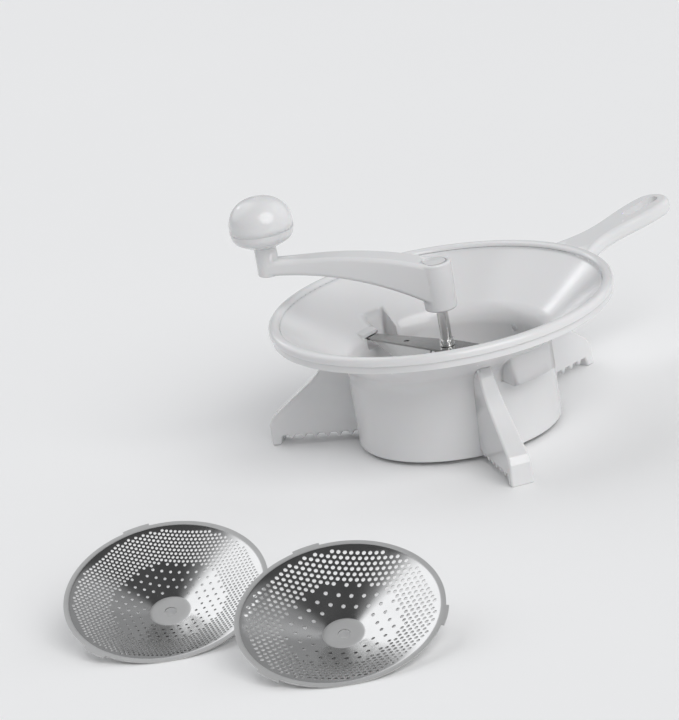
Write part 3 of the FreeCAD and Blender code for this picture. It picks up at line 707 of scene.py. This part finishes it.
class MILL_OT_drive(bpy.types.Operator):
    """Shaft, collar, cross bar, washers, blade and pin"""
    bl_idname = "food_mill.drive"
    bl_label = "Drive"

    def execute(self, context):
        rod = steel_finish("polished_rod", colours().rod, 0.08, lines=(6, 6, 0.25))
        sheet = steel_finish("bar_sheet", colours().bar, 0.12, lines=(30, 0.5, 0.5),
                             turn=bar_angle)
        for node in ("crank_shaft", "shaft_collar", "blade_pin"):
            smooth_copy(node, rod, "crank")
        for node, body in (("cross_bar", "bar"), ("upper_washer", "bar"),
                           ("thrust_washer", "press"), ("press_blade", "crank")):
            smooth_copy(node, sheet, body, sheet_edge)
        return {"FINISHED"}


class MILL_OT_spring(bpy.types.Operator):
    """Wound wire of the press spring"""
    bl_idname = "food_mill.spring"
    bl_label = "Spring"

    def execute(self, context):
        low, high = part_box("press_spring")
        radius = (high.x - low.x) / 2 - wire_radius
        turns = sizes().spring_turns
        steps = turns * steps_per_turn
        rise = (high.z - low.z - 2 * wire_radius) / steps
        bm = bmesh.new()
        made = bmesh.ops.create_circle(bm, segments=wire_segments, radius=wire_radius)
        section = made["verts"]
        bmesh.ops.rotate(bm, verts=section, matrix=Matrix.Rotation(math.pi / 2, 3, "X"))
        bmesh.ops.translate(bm, verts=section, vec=(radius, 0, low.z + wire_radius))
        bmesh.ops.spin(bm, geom=bm.verts[:] + bm.edges[:], cent=(0, 0, 0), axis=(0, 0, 1),
                       dvec=(0, 0, rise), angle=turns * 2 * math.pi, steps=steps)
        bmesh.ops.holes_fill(bm, edges=[e for e in bm.edges if e.is_boundary], sides=0)
        bmesh.ops.remove_doubles(bm, verts=bm.verts, dist=spring_weld)
        bmesh.ops.recalc_face_normals(bm, faces=bm.faces)
        finish = steel_finish("spring_wire", colours().wire, 0.24, lines=(0.4, 0.4, 2))
        spring = piece_from("spring_coil", bm, finish, "bar", "press_spring")
        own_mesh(spring)
        return {"FINISHED"}


class MILL_OT_discs(bpy.types.Operator):
    """Fitted disc and the two loose discs with their real hole patterns"""
    bl_idname = "food_mill.discs"
    bl_label = "Discs"

    def execute(self, context):
        size = sizes()
        seat = Matrix.Translation((0, 0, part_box("disc_fitted")[0].z))
        for node, body, hole, pitch, place in (
                ("disc_fitted", "bowl", size.medium_hole, size.medium_pitch, seat),
                ("disc_fine", "spare_fine", size.fine_hole, size.fine_pitch,
                 loose_place("fine_disc_bore")),
                ("disc_coarse", "spare_coarse", size.coarse_hole, size.coarse_pitch,
                 loose_place("coarse_disc_bore"))):
            axis = place.to_3x3() @ UP
            finish = disc_finish(node + "_steel", place.translation[:], axis[:])
            make_disc(node + "_sheet", hole, pitch, place, body, node, finish)
        return {"FINISHED"}


class MILL_OT_stage(bpy.types.Operator):
    """Floor, soft lights and the camera"""
    bl_idname = "food_mill.stage"
    bl_label = "Stage"

    def execute(self, context):
        stage = context.scene.food_mill_stage
        context.scene.view_settings.view_transform = "Standard"
        make_floor()
        make_room(stage)
        wide_light("key_light", stage.key, key_bearing, key_height)
        make_camera(stage.lens)
        return {"FINISHED"}


class MILL_PT_panel(bpy.types.Panel):
    """Lists the steps that make the mill"""
    bl_idname = "MILL_PT_panel"
    bl_label = "Food Mill"
    bl_space_type = "VIEW_3D"
    bl_region_type = "UI"
    bl_category = "Food Mill"

    def draw(self, context):
        for name in ("food_mill_colours", "food_mill_sizes", "food_mill_stage"):
            group = getattr(context.scene, name)
            for setting in group.__annotations__:
                self.layout.prop(group, setting)
        for operator in operators:
            self.layout.operator(operator.bl_idname)


operators = (MILL_OT_bowl, MILL_OT_legs, MILL_OT_handle, MILL_OT_crank, MILL_OT_knob,
             MILL_OT_drive, MILL_OT_spring, MILL_OT_discs, MILL_OT_stage)
classes = (MillColours, MillSizes, MillStage) + operators + (MILL_PT_panel,)


def register():
    for cls in classes:
        bpy.utils.register_class(cls)
    bpy.types.Scene.food_mill_colours = PointerProperty(type=MillColours)
    bpy.types.Scene.food_mill_sizes = PointerProperty(type=MillSizes)
    bpy.types.Scene.food_mill_stage = PointerProperty(type=MillStage)


def unregister():
    del bpy.types.Scene.food_mill_stage
    del bpy.types.Scene.food_mill_sizes
    del bpy.types.Scene.food_mill_colours
    for cls in reversed(classes):
        bpy.utils.unregister_class(cls)


def main():
    """Make every piece and the stage."""
    register()
    bpy.ops.food_mill.bowl()
    bpy.ops.food_mill.legs()
    bpy.ops.food_mill.handle()
    bpy.ops.food_mill.crank()
    bpy.ops.food_mill.knob()
    bpy.ops.food_mill.drive()
    bpy.ops.food_mill.spring()
    bpy.ops.food_mill.discs()
    bpy.ops.food_mill.stage()


if __name__ == "__main__":
    main()
